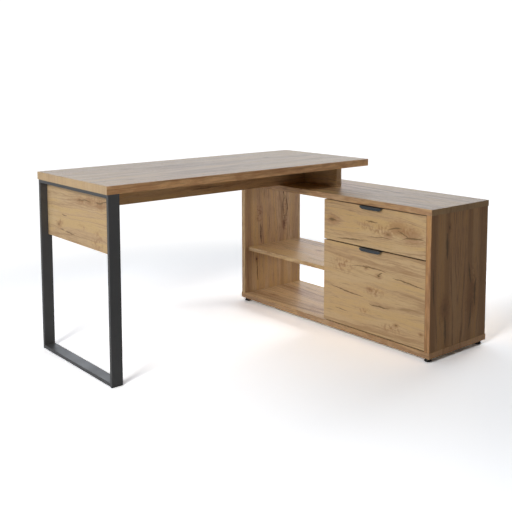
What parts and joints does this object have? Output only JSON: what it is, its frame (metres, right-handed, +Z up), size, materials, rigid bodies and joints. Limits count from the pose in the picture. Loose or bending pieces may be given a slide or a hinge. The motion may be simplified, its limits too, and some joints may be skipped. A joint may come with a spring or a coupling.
{
  "type": "corner desk",
  "caption": "L-shaped desk: oak-look desk top on a flat-tube steel loop at one end and a low cabinet with open shelf bay and drawers at the other.",
  "frame": {"origin": "on the floor, under the middle of the whole footprint's bounding box", "axes": "+Z up; +X along the desk top, from the steel loop to the cabinet; +Y from the user's side of the desk top to its far side"},
  "size_m": [1.49, 1.2, 0.76],
  "materials": {
    "oak_decor": "matt textured board with a wild oak decor: knots, cracks and cathedral grain",
    "drawer_board": "plain pale grey-beige coated board",
    "frame_steel": "anthracite powder coat, fine texture, satin",
    "handle_metal": "dark anthracite satin",
    "black_plastic": "matt moulded",
    "zinc_steel": "bright zinc plated"
  },
  "bodies": {
    "desk": {"desk_top": "oak_decor", "support_board": "oak_decor", "apron_board": "oak_decor", "side_panel": "oak_decor", "cabinet_top": "oak_decor", "cabinet_bottom": "oak_decor", "far_end_panel": "oak_decor", "near_end_panel": "oak_decor", "divider_panel": "oak_decor", "cabinet_back_panel": "oak_decor", "shelf": "oak_decor", "frame_top_rail": "frame_steel", "frame_bottom_rail": "frame_steel", "frame_front_post": "frame_steel", "frame_back_post": "frame_steel", "frame_front_glide": "black_plastic", "frame_back_glide": "black_plastic", "cabinet_foot_1": "black_plastic", "cabinet_foot_2": "black_plastic", "cabinet_foot_3": "black_plastic", "cabinet_foot_4": "black_plastic", "frame_screw_1": "zinc_steel", "frame_screw_2": "zinc_steel", "frame_screw_3": "zinc_steel", "frame_screw_4": "zinc_steel", "shelf_pin_1": "zinc_steel", "shelf_pin_2": "zinc_steel", "shelf_pin_3": "zinc_steel", "shelf_pin_4": "zinc_steel", "upper_slide_outer_left": "zinc_steel", "upper_slide_outer_right": "zinc_steel", "lower_slide_outer_left": "zinc_steel", "lower_slide_outer_right": "zinc_steel"},
    "upper_drawer": {"upper_drawer_front": "oak_decor", "upper_drawer_handle": "handle_metal", "upper_handle_screw_1": "zinc_steel", "upper_handle_screw_2": "zinc_steel", "upper_drawer_left_side": "drawer_board", "upper_drawer_right_side": "drawer_board", "upper_drawer_bottom": "drawer_board", "upper_drawer_back": "drawer_board", "upper_slide_inner_left": "zinc_steel", "upper_slide_inner_right": "zinc_steel"},
    "upper_slides": {"upper_slide_middle_left": "zinc_steel", "upper_slide_middle_right": "zinc_steel"},
    "lower_drawer": {"lower_drawer_front": "oak_decor", "lower_drawer_handle": "handle_metal", "lower_handle_screw_1": "zinc_steel", "lower_handle_screw_2": "zinc_steel", "lower_drawer_left_side": "drawer_board", "lower_drawer_right_side": "drawer_board", "lower_drawer_bottom": "drawer_board", "lower_drawer_back": "drawer_board", "lower_slide_inner_left": "zinc_steel", "lower_slide_inner_right": "zinc_steel"},
    "lower_slides": {"lower_slide_middle_left": "zinc_steel", "lower_slide_middle_right": "zinc_steel"}
  },
  "joints": [
    {"name": "upper_drawer_pull", "type": "slide", "parent": "desk", "child": "upper_drawer", "axis": [-1, 0, 0], "range_m": [0, 0.3]},
    {"name": "upper_slides_travel", "type": "slide", "parent": "desk", "child": "upper_slides", "axis": [-1, 0, 0], "range_m": [0, 0.15]},
    {"name": "lower_drawer_pull", "type": "slide", "parent": "desk", "child": "lower_drawer", "axis": [-1, 0, 0], "range_m": [0, 0.3]},
    {"name": "lower_slides_travel", "type": "slide", "parent": "desk", "child": "lower_slides", "axis": [-1, 0, 0], "range_m": [0, 0.15]}
  ],
  "couplings": [
    {"joint": "upper_slides_travel", "follows": "upper_drawer_pull", "ratio": 0.5},
    {"joint": "lower_slides_travel", "follows": "lower_drawer_pull", "ratio": 0.5}
  ]
}
